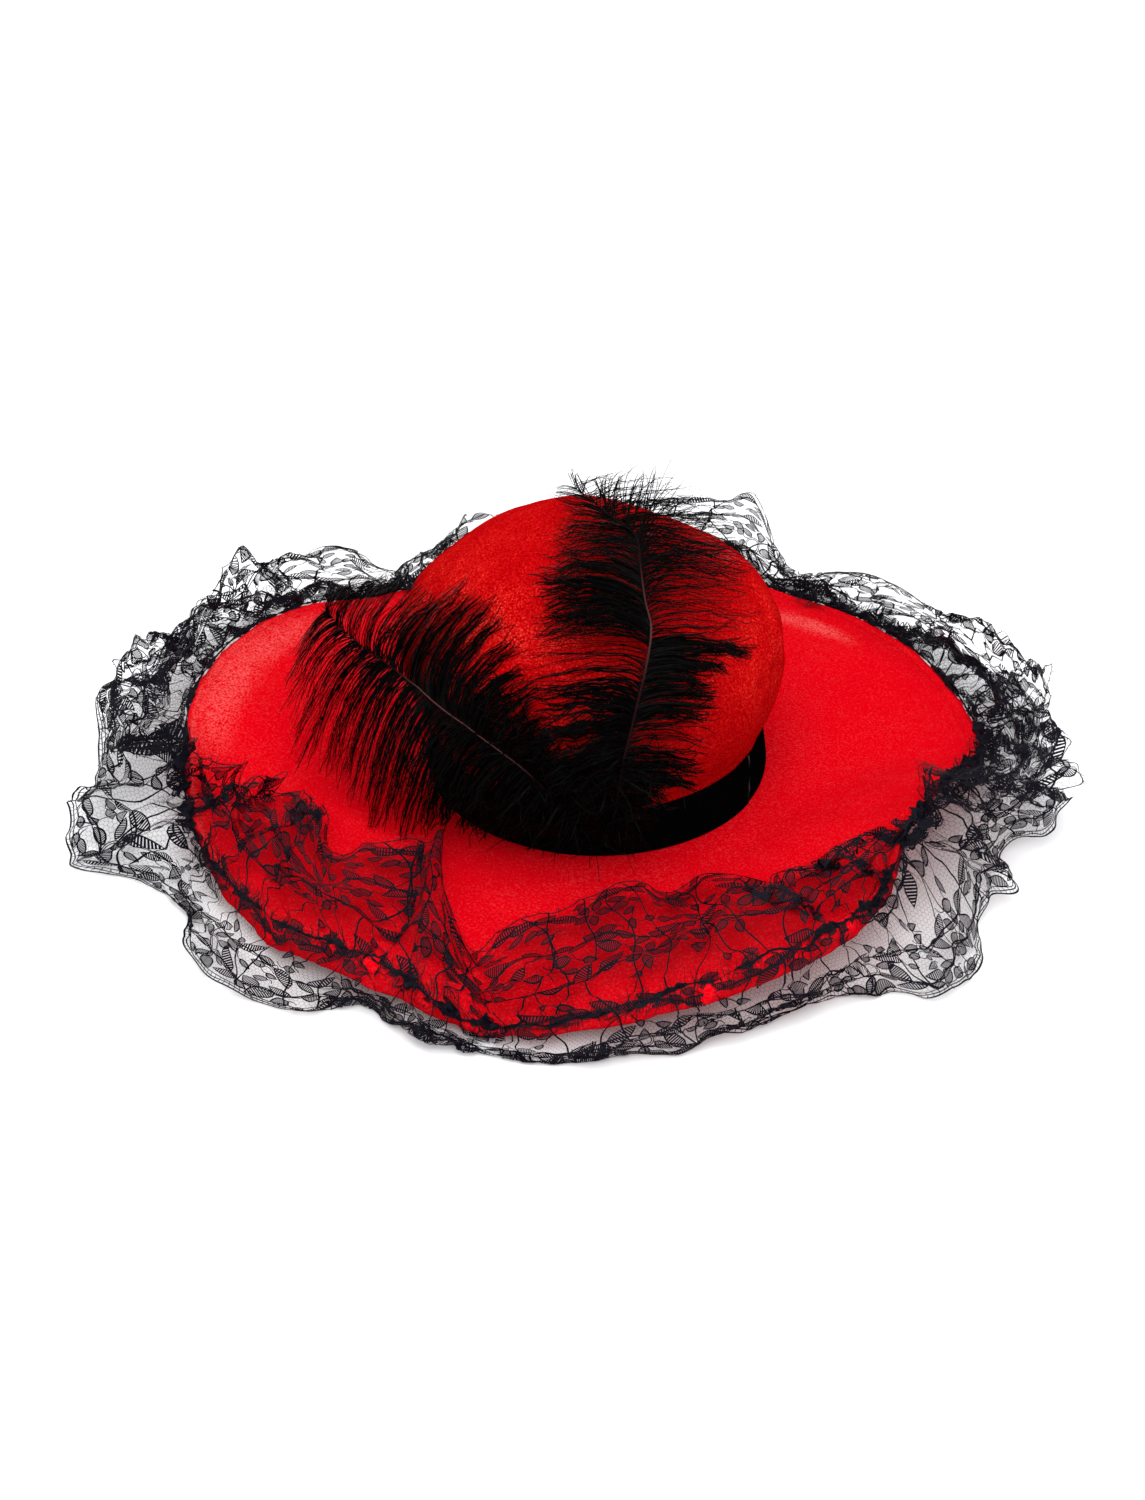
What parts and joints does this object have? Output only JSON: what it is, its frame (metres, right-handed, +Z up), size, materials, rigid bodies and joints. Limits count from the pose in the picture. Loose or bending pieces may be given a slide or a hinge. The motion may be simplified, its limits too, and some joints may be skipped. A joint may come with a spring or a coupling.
{
  "type": "lolita hat",
  "caption": "Wide-brimmed domed velvet hat with a ribbon band, a gathered floral lace ruffle round the waved brim and ostrich feathers sewn to the front of the band.",
  "frame": {"origin": "middle of the whole hat's footprint, on the surface that the lace rests on", "axes": "+Z up along the crown, -Y towards the front where the feathers are sewn on, +X to the wearer's left side, which is on the right of the picture"},
  "size_m": [0.551, 0.5212, 0.1945],
  "materials": {
    "crown_velvet": "short-pile red velvet with a soft sheen, slightly crushed",
    "brim_velvet": "smooth short-pile red velvet, matt",
    "band_velvet": "black velvet ribbon, matt, with a paler selvedge",
    "lace": "black nylon floral lace on hexagonal net, corded edges",
    "feather": "black dyed ostrich plume, soft gloss"
  },
  "bodies": {
    "root": {"crown": "crown_velvet", "brim": "brim_velvet", "hat_band": "band_velvet", "lace_ruffle": "lace", "feather_left": "feather", "feather_right": "feather"}
  },
  "joints": []
}
